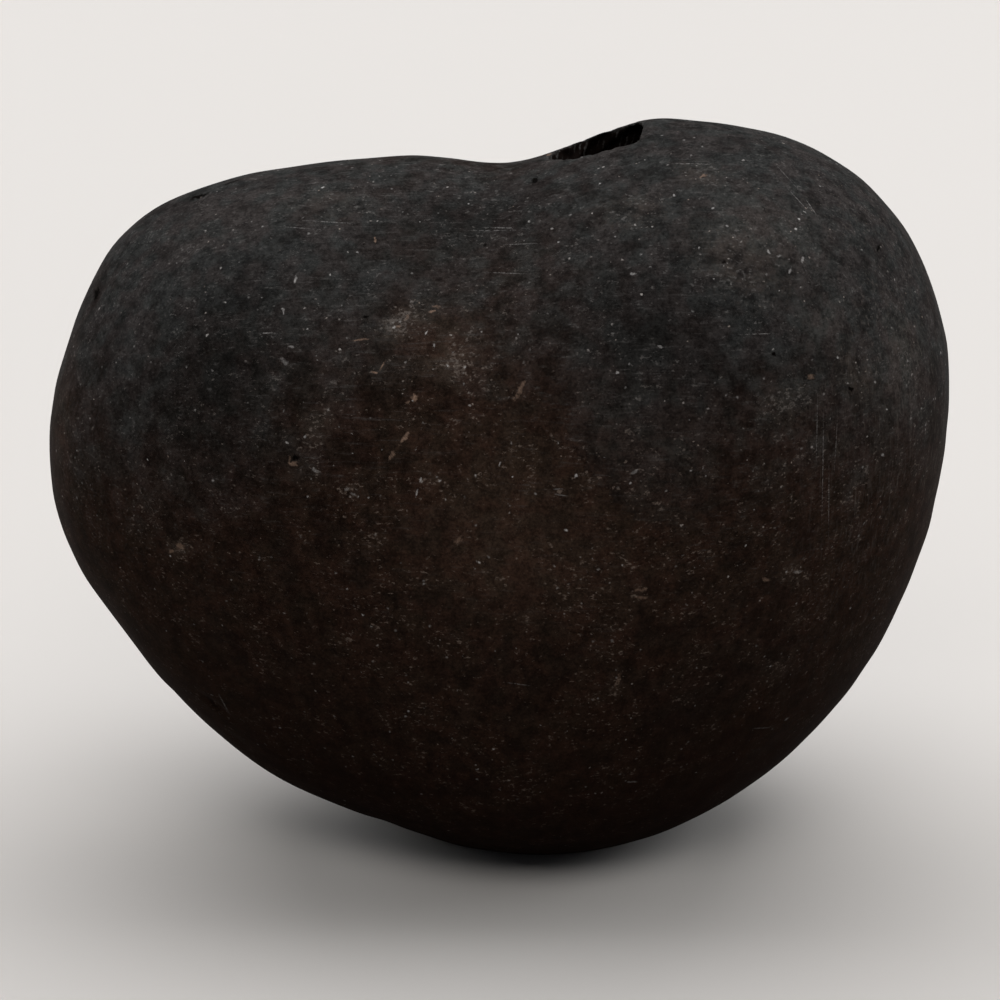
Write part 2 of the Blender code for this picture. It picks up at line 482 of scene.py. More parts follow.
def store_numbers(name, values):
    """Attribute with one number for each point of the grid, the end rows as single points."""
    flat = np.concatenate([values[:1, 0], values[1:-1].ravel(), values[-1:, 0]])
    stone.data.attributes.new(name, "FLOAT", "POINT").data.foreach_set("value", flat.astype(np.float32))


store_numbers("rim_highlight", rim_highlight)
store_numbers("tunnel_depth", tunnel_depth)

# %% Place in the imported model
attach(stone, "root")
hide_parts("ammonite_stone")

# %% [markdown]
# ## Finish: how the layers are built
#
# The stone is a fine dark limestone. Its ground is a brown that is almost black. Pale grains of shell
# and calcite are scattered in it, thinly in most places and in clouds in a few. Pores are darker still.
# Grey dust sits on the crown and the ends, together with a painted grey sheen, and fine lines were
# rubbed into it, mostly level ones. Painted shade darkens the foot, some broad tones, the floors of the
# dents and the tunnel, and a painted highlight lies on the tunnel's rim.
# Each of these is a mask, made from noise, from cells or from marks stored on the mesh, that lays a
# colour over what is there. Noise and cells read Object coordinates in millimetres, so nothing slides
# when the camera moves.


# %% Node helpers
def add_node(tree, kind, values=None, **settings):
    """A new node with its settings, and its sockets filled with numbers or joined to other sockets."""
    made = tree.nodes.new(kind)
    for name, setting in settings.items():
        setattr(made, name, setting)
    for socket, value in (values or {}).items():
        if isinstance(value, bpy.types.NodeSocket):
            tree.links.new(value, made.inputs[socket])
        else:
            made.inputs[socket].default_value = value
    return made


def sum_up(tree, operation, *values):
    """Result of one Math node."""
    return add_node(tree, "ShaderNodeMath", dict(enumerate(values)), operation=operation).outputs[0]


def product(tree, first, *others):
    """All values multiplied with one another."""
    for other in others:
        first = sum_up(tree, "MULTIPLY", first, other)
    return first


def ramp(tree, value, low, high):
    """A smooth step from 0 at low to 1 at high."""
    sockets = {"Value": value, "From Min": low, "From Max": high}
    return add_node(tree, "ShaderNodeMapRange", sockets, interpolation_type="SMOOTHSTEP").outputs[0]


def noise(tree, vector, scale, detail=2.0, rough=0.5):
    """Noise between 0 and 1, with a middle of one half. The scale is in waves per millimetre."""
    sockets = {"Vector": vector, "Scale": scale, "Detail": detail, "Roughness": rough}
    return add_node(tree, "ShaderNodeTexNoise", sockets).outputs["Fac"]


def stretched(tree, vector, scale):
    """The same coordinates, stretched by a factor along each axis."""
    return add_node(tree, "ShaderNodeMapping", {"Vector": vector, "Scale": scale}).outputs[0]


def blend(tree, mask, under, over):
    """One colour laid over another where the mask is 1. The Mix node's colour sockets are 6, 7 and 2."""
    under, over = (
        colour if isinstance(colour, bpy.types.NodeSocket) else (*colour, 1.0) for colour in (under, over)
    )
    return add_node(tree, "ShaderNodeMix", {"Factor": mask, 6: under, 7: over}, data_type="RGBA").outputs[2]


# %% [markdown]
# Grains, specks and pores are all small round things scattered at random. A Voronoi texture parts
# space into cells, and gives each cell a random colour. A grain is drawn round the middle of a cell, its
# size and strength come from that colour, and so does the choice of the cells that stay empty. One
# group does this for every kind, with other values.


# %% Scattered grains
GRAIN_SOCKETS = {
    "Vector": ("INPUT", "NodeSocketVector"),
    "Cells": ("INPUT", "NodeSocketFloat"),
    "Size": ("INPUT", "NodeSocketFloat"),
    "Share": ("INPUT", "NodeSocketFloat"),
    "Strength": ("OUTPUT", "NodeSocketFloat"),
    "Tint": ("OUTPUT", "NodeSocketFloat"),
}
LEAST_SIZE = 0.45
LEAST_STRENGTH = 0.25
FULL_WITHIN = 0.1


def scattered_grains():
    """Group: soft dots in some of the cells.

    Dot = a smooth step from 0 at the radius to 1 at FULL_WITHIN of it. Radius = size * a random share
    between LEAST_SIZE and 1. A cell has a dot where a second random number is below the share. Strength =
    dot * (LEAST_STRENGTH + (1 - LEAST_STRENGTH) * the square of a third random number).
    """
    group = bpy.data.node_groups.new("scattered_grains", "ShaderNodeTree")
    for name, (way, kind) in GRAIN_SOCKETS.items():
        group.interface.new_socket(name=name, in_out=way, socket_type=kind)
    start = group.nodes.new("NodeGroupInput")
    end = group.nodes.new("NodeGroupOutput")
    sockets = {"Vector": start.outputs["Vector"], "Scale": start.outputs["Cells"]}
    cells = add_node(group, "ShaderNodeTexVoronoi", sockets)
    lots = add_node(group, "ShaderNodeSeparateColor", {0: cells.outputs["Color"]})
    size_lot = sum_up(group, "MULTIPLY_ADD", lots.outputs[0], 1 - LEAST_SIZE, LEAST_SIZE)
    radius = product(group, size_lot, start.outputs["Size"])
    near = sum_up(group, "DIVIDE", cells.outputs["Distance"], radius)
    dot = ramp(group, near, 1.0, FULL_WITHIN)
    chosen = sum_up(group, "LESS_THAN", lots.outputs[1], start.outputs["Share"])
    bright = sum_up(group, "POWER", lots.outputs[2], 2.0)
    bright = sum_up(group, "MULTIPLY_ADD", bright, 1 - LEAST_STRENGTH, LEAST_STRENGTH)
    strength = product(group, dot, chosen, bright)
    group.links.new(strength, end.inputs["Strength"])
    group.links.new(lots.outputs[0], end.inputs["Tint"])
    return group


GRAINS = scattered_grains()

# %% [markdown]
# A few grains, scratches and pores are big enough to know the stone by. Each is placed where it is
# seen in the photograph, as a thin ellipsoid that the surface cuts through. A chain of nodes for every
# one would be too long for the renderer, so numpy does the sum and stores it on the mesh. Each
# face finds its nearest mark, and its corners keep their places in that mark's own coordinates, where
# the skin of the ellipsoid is 1 away from its middle. Such places change evenly across a face, so the
# outline stays sharp however coarse the mesh is. The colour and strength of the mark are kept beside them.
# Broad tones and clouds of grains are stored in the same way.


# %% Corners and faces as arrays
def numbers(collection, field, width, kind=float):
    """One field of all vertices, corners or faces as an array."""
    values = np.empty(len(collection) * width, kind)
    collection.foreach_get(field, values)
    return values.reshape(-1, width) if width > 1 else values


vertex_places = numbers(stone.data.vertices, "co", 3)
corner_places = vertex_places[numbers(stone.data.loops, "vertex_index", 1, int)]
face_middles = numbers(stone.data.polygons, "center", 3)
face_corners = numbers(stone.data.polygons, "loop_total", 1, int)
print("corners:", len(corner_places), "faces:", len(face_middles))


# %% Placed marks
# All in mm, but DEPTH_OVER_SIZE is a share.
DEPTH_OVER_SIZE = 2.0
EXTRA_DEPTH = 0.5
DEEPEST_MARK = 8.0


def in_mark(points, mark):
    """Places of points in a mark's own ellipsoid: offsets along its three axes over its half sizes.

    Half size along the line of sight = DEPTH_OVER_SIZE * the larger of the others + EXTRA_DEPTH, but no
    more than DEEPEST_MARK.
    """
    x, y, slope, length, width = mark[:5]
    depth = min(DEPTH_OVER_SIZE * max(length, width) + EXTRA_DEPTH, DEEPEST_MARK)
    axes = np.array(seen_axes(slope)) / (np.array([length, width, depth]) * MM)[:, None]
    return (points - seen_at(x, y)) @ axes.T


def store_marks(name, marks):
    """Attributes with each corner's place in the nearest mark, and with that mark's colour and strength.

    The nearest mark of a face is the one in whose own coordinates the middle of the face is least far out.
    Each mark: pixel x, pixel y, slope in degrees, half length and half width in mm, strength, colour.
    """
    least = np.full(len(face_middles), np.inf)
    nearest = np.zeros(len(face_middles), int)
    for index, mark in enumerate(marks.values()):
        reach = np.linalg.norm(in_mark(face_middles, mark), axis=1)
        nearest[reach < least] = index
        least = np.minimum(reach, least)
    corner_nearest = np.repeat(nearest, face_corners)
    places = np.zeros_like(corner_places)
    colours = np.zeros((len(corner_places), 4))
    for index, mark in enumerate(marks.values()):
        chosen = corner_nearest == index
        places[chosen] = in_mark(corner_places[chosen], mark)
        colours[chosen] = (*mark[6], mark[5])
    own_places = stone.data.attributes.new(name + "_place", "FLOAT_VECTOR", "CORNER")
    own_places.data.foreach_set("vector", places.astype(np.float32).ravel())
    own_colours = stone.data.attributes.new(name + "_colour", "FLOAT_COLOR", "CORNER")
    own_colours.data.foreach_set("color", colours.astype(np.float32).ravel())
    print(name, "has", len(marks), "marks")


def coloured(marks, colour):
    """The same marks with one colour at the end of each."""
    return {name: (*mark, colour) for name, mark in marks.items()}


# %% Broad tones
# The grey patches are painted sheen, and the warm left edge is a painted rim reflection. The dark tones are
# painted shade.
WARM = (0.0385, 0.0238, 0.0168)
PAINTED_SHADE = (0.0085, 0.0078, 0.0074)
PAINTED_SHEEN = (0.0375, 0.0347, 0.0330)
TONES_AND_SHEEN = {
    "warm middle": (512, 535, -20, 18.0, 18.0, 0.78, WARM),
    "brown right of the middle": (640, 440, -60, 14.0, 9.0, 0.4, PAINTED_SHEEN),
    "pale right lobe": (768, 230, -30, 9.5, 7.5, 0.8, PAINTED_SHEEN),
    "pale right end": (902, 368, -78, 8.5, 4.5, 0.9, PAINTED_SHEEN),
    "pale cheek": (822, 325, -60, 5.0, 4.0, 0.75, PAINTED_SHEEN),
    "pale left shoulder": (230, 215, 15, 12.0, 5.5, 0.3, PAINTED_SHEEN),
    "brown patch above the middle": (440, 345, -15, 6.5, 5.0, 0.6, WARM),
    "warm left edge": (62, 440, 88, 9.0, 2.5, 0.5, WARM),
}
SHADE_TONES = {
    "dark left cheek": (214, 372, 80, 16.0, 12.0, 0.7),
    "valley below the mouth": (638, 335, -62, 15.0, 10.0, 0.6),
    "dip of the crown": (480, 220, 0, 14.0, 7.0, 0.7),
    "dark lower right": (700, 700, 40, 12.0, 8.0, 0.4),
}
store_marks("tones_and_sheen", TONES_AND_SHEEN)
store_marks("shade_tones", coloured(SHADE_TONES, PAINTED_SHADE))

# %% Tan flecks
TAN = (0.250, 0.165, 0.120)
TAN_FLECKS = {
    "drop above the patch": (375, 240, 95, 0.45, 0.16, 0.9),
    "foot of the drop": (373.5, 246, 90, 0.22, 0.12, 0.9),
    "lower arm of the hook": (375.5, 372.5, -12, 0.45, 0.14, 1.0),
    "upper arm of the hook": (382, 366.5, 62, 0.6, 0.13, 0.9),
    "orange fleck": (414, 398, 55, 0.55, 0.36, 1.0),
    "orange fleck's tail": (408, 402, 10, 0.4, 0.18, 0.7),
    "long fleck": (404.5, 438, 55, 0.95, 0.26, 0.85),
    "rust fleck": (391.5, 456, 60, 0.75, 0.28, 0.7),
    "slanting fleck": (520, 390, 66, 1.2, 0.32, 0.6),
    "foot of the slanting fleck": (515, 398, 20, 0.5, 0.3, 0.5),
    "low middle fleck": (458, 541, 60, 0.7, 0.35, 0.6),
    "left cluster": (180, 546, -15, 0.75, 0.4, 0.6),
    "left cluster's mate": (172, 551, 30, 0.4, 0.25, 0.6),
    "ring, upper side": (641, 590, 5, 0.8, 0.22, 0.55),
    "ring, lower side": (641, 598, -5, 0.7, 0.22, 0.55),
    "streak below the ring": (618, 680, 70, 0.95, 0.3, 0.5),
    "right low fleck": (766, 580, -10, 0.55, 0.25, 0.7),
    "rim of the brown pit": (293, 463.5, -15, 0.6, 0.28, 0.8),
    "left rim of the pit": (289.5, 459, 80, 0.45, 0.18, 0.6),
    "fleck by the crest": (703.6, 175.5, 20, 0.45, 0.25, 0.7),
    "grain at the mouth's tip": (541.5, 155.0, 15, 0.3, 0.16, 0.8),
    "second grain at the tip": (548.5, 154.5, 10, 0.35, 0.18, 0.8),
    "short scratch, tan": (360, 339.5, 5, 1.05, 0.12, 0.7),
    "cloud's bright curl": (407, 317, 50, 0.55, 0.22, 0.6),
    "cloud's bright end": (398.5, 326, 0, 0.35, 0.2, 0.6),
    "pair, upper": (436, 306.5, -10, 0.5, 0.2, 0.7),
    "pair, lower": (433, 311, 20, 0.45, 0.17, 0.8),
    "red fleck on the right lobe": (811, 377, 0, 0.5, 0.35, 0.6),
}

# %% Pale flecks
PALE = (0.420, 0.400, 0.390)
PALE_FLECKS = {
    "white hook": (426.2, 333, 65, 0.45, 0.11, 1.0),
    "white dot below the hook": (434, 345, 90, 0.22, 0.16, 1.0),
    "dot on the left": (287, 443, 0, 0.2, 0.17, 1.0),
    "dot at the scoop": (307, 329, 0, 0.16, 0.15, 0.8),
    "twin dots": (292, 347, -20, 0.45, 0.16, 0.6),
    "left dash": (283.5, 311, 80, 0.4, 0.14, 0.6),
    "upright dash": (295.4, 279, 85, 0.55, 0.15, 0.7),
    "low dot": (420.6, 480, 60, 0.28, 0.15, 1.0),
    "low dash": (416.6, 493, 75, 0.42, 0.15, 0.9),
    "grey oval": (315.5, 470.5, -25, 0.55, 0.26, 0.5),
    "blue oval": (284.5, 362, -45, 0.75, 0.32, 0.35),
    "crest dot": (674, 195, 0, 0.18, 0.16, 0.8),
    "dot on the mouth's rim": (581.6, 157.5, 0, 0.24, 0.16, 0.7),
    "dot by the mouth's tip": (565.5, 157.0, 0, 0.18, 0.15, 0.7),
    "crest dot, right": (713, 208, 0, 0.18, 0.16, 0.9),
    "lobe dot": (726.8, 226, 0, 0.2, 0.16, 0.8),
    "lobe dot, right": (795.5, 229, 0, 0.2, 0.18, 1.0),
    "lobe dash": (768.5, 252, -50, 0.3, 0.16, 0.9),
    "lobe cluster, upper": (802.5, 260, 70, 0.35, 0.2, 0.7),
    "lobe cluster, lower": (789.7, 271, 75, 0.45, 0.2, 0.7),
    "lobe cluster, left": (778.6, 256, 20, 0.3, 0.18, 0.6),
    "middle pair": (632.7, 274, 0, 0.35, 0.17, 0.7),
    "middle dot": (617.5, 373, 0, 0.22, 0.17, 0.9),
    "middle dash": (660.6, 347, -25, 0.35, 0.15, 0.6),
    "ring on the left": (347, 489, 30, 0.5, 0.18, 0.4),
    "ring's lower side": (353, 494, -20, 0.45, 0.16, 0.4),
    "streak in the middle": (557, 489, 0, 0.7, 0.11, 0.4),
    "streak below it": (561, 495, -8, 0.8, 0.1, 0.4),
    "small crown": (635, 472, 30, 0.5, 0.22, 0.6),
    "streaks on the right": (797, 572, 10, 0.7, 0.18, 0.45),
    "dot in the streaks": (786.5, 572.5, 0, 0.2, 0.16, 0.9),
    "low white dot": (479, 562, 0, 0.2, 0.17, 1.0),
    "low white dot, right": (566, 530.5, 0, 0.22, 0.18, 1.0),
    "dot right of the middle": (500, 464, 80, 0.28, 0.14, 0.9),
    "white dot, far left": (308, 496.5, 0, 0.17, 0.15, 0.8),
    "upper right dot": (882, 455, 0, 0.24, 0.2, 1.0),
    "low dash on the right": (787, 719, 35, 0.4, 0.14, 0.7),
    "foot dash": (632, 782, 0, 0.7, 0.12, 0.6),
}
store_marks("flecks", coloured(TAN_FLECKS, TAN) | coloured(PALE_FLECKS, PALE))

# %% Pores, and painted shade on the floors of the dents
# The marks on the floors of the knock, the crack, the crease, the dimple and the brown pit are painted
# shade. The others are dark pores.
BLACK = (0.0022, 0.0016, 0.0013)
PORES_AND_DENT_SHADE = {
    "pore by the mouth": (535, 181, 70, 0.65, 0.4, 1.0),
    "upper lobe pore": (724, 262, 0, 0.3, 0.28, 0.9),
    "middle lobe pore": (773.8, 354, 0, 0.3, 0.26, 1.0),
    "dimple's floor": (879, 247, 70, 0.6, 0.28, 1.0),
    "lower lobe pore": (851, 389, -30, 0.45, 0.28, 1.0),
    "brown pit's floor": (296, 457.5, 0, 0.45, 0.4, 1.0),
    "pore above the scratch": (365.6, 317, 0, 0.38, 0.22, 1.0),
    "crack's floor": (199, 196, 16, 1.2, 0.3, 1.0),
    "crack's upper part": (233, 182, 20, 1.2, 0.14, 0.8),
    "knock's floor": (96, 293, 76, 1.1, 0.38, 1.0),
    "crease's floor": (212, 702, -58, 1.7, 0.3, 0.9),
    "dark slit": (485, 245, 70, 0.28, 0.22, 0.8),
}
store_marks("pores", coloured(PORES_AND_DENT_SHADE, BLACK))

# %% Clouds of grains
CLOUDS = {
    "patch, upper": (402, 320, 25, 3.6, 2.4, 1.00),
    "patch, right": (456, 362, -20, 3.2, 2.8, 0.9),
    "patch, left": (318, 425, 60, 3.6, 2.2, 0.6),
    "crown cloud": (632, 211, 5, 5.2, 3.0, 0.5),
    "crest cloud": (702, 172, -15, 4.2, 2.2, 0.4),
    "streak's patch in the middle": (558, 493, 0, 1.7, 1.0, 0.8),
    "lobe cloud": (740, 262, -30, 7.5, 5.0, 0.5),
    "lobe's end cloud": (904, 345, -70, 6.0, 2.4, 0.4),
    "right cloud": (786, 402, 10, 4.2, 2.6, 0.55),
    "cheek cloud": (855, 375, -60, 4.5, 3.2, 0.5),
    "left shoulder cloud": (330, 205, 0, 6.0, 3.0, 0.35),
    "red patch": (731, 276, 0, 2.4, 2.0, 0.55),
    "low right cloud": (778, 668, 15, 3.4, 2.4, 0.6),
    "right streaks' cloud": (792, 573, 10, 2.4, 1.8, 0.7),
    "left low patch": (178, 548, -15, 2.2, 1.4, 0.7),
    "ring's cloud": (641, 594, 0, 1.6, 1.2, 0.7),
    "streak's cloud": (617, 681, 80, 2.2, 1.2, 0.6),
    "ring on the left": (350, 492, 10, 1.9, 1.4, 0.9),
}
store_marks("clouds", coloured(CLOUDS, PALE))

# %% Scratches
SCRATCHES = {
    "level scratch on the lobe": (757, 334, 2, 2.6, 0.06, 0.5),
    "level scratch on the crown": (687, 163.5, 0, 2.4, 0.06, 0.35),
    "crown slant, upper": (786, 176, -52, 2.0, 0.06, 0.3),
    "crown slant, lower": (798, 200, -50, 1.8, 0.06, 0.4),
    "crown slant, right": (811, 207, -58, 1.4, 0.06, 0.45),
    "left scratch": (267, 333, 0, 0.95, 0.08, 0.6),
    "upper left lines": (330, 222, -4, 3.6, 0.07, 0.35),
    "upper left lines, second": (300, 228, -5, 3.0, 0.06, 0.3),
    "level line in the middle": (505, 228, -2, 3.0, 0.07, 0.45),
    "level line, second": (495, 230.5, 0, 3.8, 0.06, 0.35),
    "level line, third": (520, 244, 1, 2.6, 0.06, 0.3),
    "level line, fourth": (505, 273, -3, 2.6, 0.07, 0.35),
    "cheek line, long": (823, 470, 91, 7.5, 0.07, 0.35),
    "cheek line, left": (817, 430, 90, 4.8, 0.06, 0.3),
    "cheek line, right": (829, 500, 92, 5.5, 0.06, 0.3),
    "cheek line, far": (836, 445, 88, 4.2, 0.06, 0.22),
    "lower line": (762, 728, 0, 1.6, 0.09, 0.4),
    "crease's light edge": (224, 704, -66, 1.7, 0.11, 0.5),
    "low middle line": (517, 684, -8, 1.6, 0.08, 0.35),
}
store_marks("scratches", coloured(SCRATCHES, PALE))

# %% [markdown]
# ## Finish: the stone
#
# The layers are laid from the ground up: brown ground and grey ground that is dust and painted sheen,
# stains, broad tones that are partly painted sheen and painted shade, a shade that carries the grit,
# fine and larger grains, flecks, rubbed lines and scratches, pores and painted shade in the dents, the
# mould with painted shade inside and a painted highlight on its rim, and last the painted shade of the
# foot. The stone is dry, so its gloss is weak and the same everywhere. The dust, the grit and the foot
# are rougher than the rest.

# %% Material and coordinates
stone_material = bpy.data.materials.new("black_stone")
stone_material.use_nodes = True
tree = stone_material.node_tree
shader = tree.nodes["Principled BSDF"]
place = add_node(tree, "ShaderNodeTexCoord").outputs["Object"]
millimetres = stretched(tree, place, (1 / MM, 1 / MM, 1 / MM))

# %% Loose coordinates
# Noise moves the coordinates a little, so that round grains and ellipsoids get a broken outline.
GRAIN_WARP = 0.16
WARP_NOISE = {"Scale": 3.0, "Detail": 1.0}
MIDDLE_OF_NOISE = (0.5, 0.5, 0.5)
warp_noise = add_node(tree, "ShaderNodeTexNoise", {"Vector": millimetres} | WARP_NOISE)
centred = add_node(tree, "ShaderNodeVectorMath", {0: warp_noise.outputs["Color"], 1: MIDDLE_OF_NOISE},
                   operation="SUBTRACT").outputs[0]
warp = add_node(tree, "ShaderNodeVectorMath", {0: centred, "Scale": 2 * GRAIN_WARP},
                operation="SCALE").outputs[0]
loose = add_node(tree, "ShaderNodeVectorMath", {0: millimetres, 1: warp}, operation="ADD").outputs[0]


def grains(values):
    """Outputs of the grain group on the loose coordinates."""
    return add_node(tree, "ShaderNodeGroup", {"Vector": loose} | values, node_tree=GRAINS).outputs


# %% Masks of the stored marks
# For each set: the part of a mark that is at full strength, and how far noise moves its outline. Both
# are shares of the mark's size.
MARK_EDGES = {
    "tones_and_sheen": (0.0, 0.6),
    "shade_tones": (0.0, 0.6),
    "clouds": (0.0, 1.5),
    "flecks": (0.25, 1.6),
    "scratches": (0.0, 0.4),
    "pores": (0.4, 1.2),
}


def placed(name):
    """Mask and colour of one set of stored marks."""
    full_within, jitter = MARK_EDGES[name]
    own_place = add_node(tree, "ShaderNodeAttribute", attribute_name=name + "_place").outputs["Vector"]
    own_colour = add_node(tree, "ShaderNodeAttribute", attribute_name=name + "_colour")
    moved = add_node(tree, "ShaderNodeVectorMath", {0: centred, 1: (jitter, jitter, jitter), 2: own_place},
                     operation="MULTIPLY_ADD").outputs[0]
    reach = add_node(tree, "ShaderNodeVectorMath", {0: moved}, operation="LENGTH").outputs["Value"]
    mask = product(tree, ramp(tree, reach, 1.0, full_within), own_colour.outputs["Alpha"])
    return mask, own_colour.outputs["Color"]


# %% Ground
# Four noises run through most layers: waves per millimetre, detail, roughness. The ground changes
# between brown and a cold grey, which is dust and painted sheen.
NOISES = {
    "broad": (0.055, 2.0, 0.5),
    "patches": (0.28, 3.0, 0.6),
    "mottle": (0.55, 3.0, 0.7),
    "grit": (3.6, 3.0, 0.8),
}
MOTTLE_IN_GRIT = 0.6
GRIT_EDGES = (0.55, 1.10)
BROWN = (0.0205, 0.0118, 0.0082)
GREY_DUST_AND_SHEEN = (0.0232, 0.0224, 0.0221)

broad, patches, mottle, grit = (noise(tree, millimetres, *kind) for kind in NOISES.values())
grit_mask = ramp(tree, sum_up(tree, "MULTIPLY_ADD", mottle, MOTTLE_IN_GRIT, grit), *GRIT_EDGES)

# %% Grey upper parts: dust and painted sheen
# The grey is partly dust and partly a painted sheen. Dust and sheen = height + shares of the distance
# from the middle and of three noises. The height is counted in heights of the stone, and the distance
# in half widths.
STONE_HEIGHT = 73.0
STONE_HALF_WIDTH = 45.0
ASIDE_SHARE = 0.25
BROAD_SHARE = 0.30
PATCH_SHARE = 0.30
MOTTLE_SHARE = 0.15
DUST_AND_SHEEN_EDGES = (1.08, 1.42)

axes = add_node(tree, "ShaderNodeSeparateXYZ", {0: millimetres})
from_middle = sum_up(tree, "ADD", axes.outputs["X"], FLAT_RIGHT_OF_MIDDLE / MM)
aside = sum_up(tree, "ABSOLUTE", sum_up(tree, "DIVIDE", from_middle, STONE_HALF_WIDTH))
dust_and_sheen_level = sum_up(tree, "DIVIDE", axes.outputs["Z"], STONE_HEIGHT)
dust_and_sheen_layers = ((aside, ASIDE_SHARE), (broad, BROAD_SHARE), (patches, PATCH_SHARE), (mottle, MOTTLE_SHARE))
for layer, share in dust_and_sheen_layers:
    dust_and_sheen_level = sum_up(tree, "MULTIPLY_ADD", layer, share, dust_and_sheen_level)
dust_and_sheen_mask = ramp(tree, dust_and_sheen_level, *DUST_AND_SHEEN_EDGES)
ground = blend(tree, dust_and_sheen_mask, BROWN, GREY_DUST_AND_SHEEN)

# %% Dark stains, broad tones, painted sheen and painted shade
STAIN = (0.0055, 0.0048, 0.0045)
STAIN_STRENGTH = 0.32
STAIN_EDGES = (0.76, 0.62)
MOTTLE_IN_STAIN = 0.5

stain_level = sum_up(tree, "MULTIPLY_ADD", mottle, MOTTLE_IN_STAIN, patches)
stain = product(tree, ramp(tree, stain_level, *STAIN_EDGES), STAIN_STRENGTH)
ground = blend(tree, stain, ground, STAIN)
for tones in ("tones_and_sheen", "shade_tones"):
    tone_mask, tone_colour = placed(tones)
    ground = blend(tree, tone_mask, ground, tone_colour)

# %% Shade and tint of the ground
# Shade = least shade + grit mask + a share of the blotches, about 1 in the middle. The tint drifts
# between red and olive.
RED_TINT = (1.07, 0.98, 0.96)
OLIVE_TINT = (0.95, 1.00, 0.99)
TINT_NOISE = (0.38, 2.0)
TINT_EDGES = (0.40, 0.60)
BLOTCH_NOISE = (1.1, 3.0, 0.6)
BLOTCH_EDGES = (0.36, 0.64)
BLOTCH_SHARE = 0.19
LEAST_SHADE = 0.47

blotches = ramp(tree, noise(tree, millimetres, *BLOTCH_NOISE), *BLOTCH_EDGES)
shade = sum_up(tree, "ADD", grit_mask, LEAST_SHADE)
shade = sum_up(tree, "MULTIPLY_ADD", blotches, BLOTCH_SHARE, shade)
ground = add_node(tree, "ShaderNodeVectorMath", {0: ground, "Scale": shade}, operation="SCALE").outputs[0]
tint = blend(tree, ramp(tree, noise(tree, millimetres, *TINT_NOISE), *TINT_EDGES), RED_TINT, OLIVE_TINT)
ground = add_node(tree, "ShaderNodeVectorMath", {0: ground, 1: tint}, operation="MULTIPLY").outputs[0]

# %% Crowds of grains
# Grains crowd together in the placed clouds and where the mottle is high. A film of their dust lies
# over the clouds.
CLOUD_FILM = (0.065, 0.050, 0.039)
FILM_STRENGTH = 0.5
FILM_EDGES = (0.30, 0.60)
CLOUD_STRENGTH = 1.5
DRIFT_STRENGTH = 0.6
DRIFT_EDGES = (0.50, 0.78)

cloud_mask = placed("clouds")[0]
clouded = product(tree, cloud_mask, CLOUD_STRENGTH)
drifted = product(tree, ramp(tree, mottle, *DRIFT_EDGES), DRIFT_STRENGTH)
crowd = sum_up(tree, "MAXIMUM", clouded, drifted)
film = product(tree, ramp(tree, mottle, *FILM_EDGES), FILM_STRENGTH, cloud_mask)
ground = blend(tree, film, ground, CLOUD_FILM)

# %% Fine grains
# A fine grain shows where a fine noise is high. Crowds and patches raise that noise.
FINE_WARM = (0.165, 0.127, 0.104)
FINE_COLD = (0.120, 0.114, 0.109)
GRAIN_STRETCH = (0.75, 1.0, 1.25)
GRAIN_NOISE = (2.3, 2.0, 0.8)
GRAIN_EDGES = (0.65, 0.82)
CROWD_RISE = 0.12
PATCH_RISE = 0.08
PATCH_EDGES = (0.40, 0.60)
FINE_STRENGTH = 0.70
FINE_LOSS_IN_DUST = 0.20

grain_level = noise(tree, stretched(tree, millimetres, GRAIN_STRETCH), *GRAIN_NOISE)
grain_level = sum_up(tree, "MULTIPLY_ADD", crowd, CROWD_RISE, grain_level)
grain_level = sum_up(tree, "MULTIPLY_ADD", ramp(tree, patches, *PATCH_EDGES), PATCH_RISE, grain_level)
fine_share = sum_up(tree, "MULTIPLY_ADD", dust_and_sheen_mask, -FINE_LOSS_IN_DUST, FINE_STRENGTH)
fine_mask = product(tree, ramp(tree, grain_level, *GRAIN_EDGES), fine_share)
fine_colour = blend(tree, dust_and_sheen_mask, FINE_WARM, FINE_COLD)
colour = blend(tree, fine_mask, ground, fine_colour)

# %% Larger grains
# Cells are counted per millimetre, and sizes in cells.
TAN_GRAIN = (0.250, 0.190, 0.150)
PALE_GRAIN = (0.400, 0.385, 0.375)
LARGE_GRAINS = {"Cells": 1.8, "Size": 0.38}
SPARKS = {"Cells": 0.8, "Size": 0.16, "Share": 0.20}
LONE_SHARE = 0.02
PATCH_GRAIN_SHARE = 0.10
PATCH_GRAIN_EDGES = (0.42, 0.62)
CROWD_SHARE = 0.55

in_patches = ramp(tree, patches, *PATCH_GRAIN_EDGES)
large_share = sum_up(tree, "MULTIPLY_ADD", in_patches, PATCH_GRAIN_SHARE, LONE_SHARE)
large_share = sum_up(tree, "MULTIPLY_ADD", crowd, CROWD_SHARE, large_share)
large_grains = grains(LARGE_GRAINS | {"Share": large_share})
grain_tint = blend(tree, large_grains["Tint"], TAN_GRAIN, PALE_GRAIN)
colour = blend(tree, large_grains["Strength"], colour, grain_tint)
colour = blend(tree, grains(SPARKS)["Strength"], colour, PALE_GRAIN)

# %% Flecks
# Grit breaks them up.
LEAST_FLECK = 0.40
GRIT_IN_FLECK = 0.65

fleck_mask, fleck_colour = placed("flecks")
broken = sum_up(tree, "MULTIPLY_ADD", grit_mask, GRIT_IN_FLECK, LEAST_FLECK)
colour = blend(tree, product(tree, fleck_mask, broken), colour, fleck_colour)

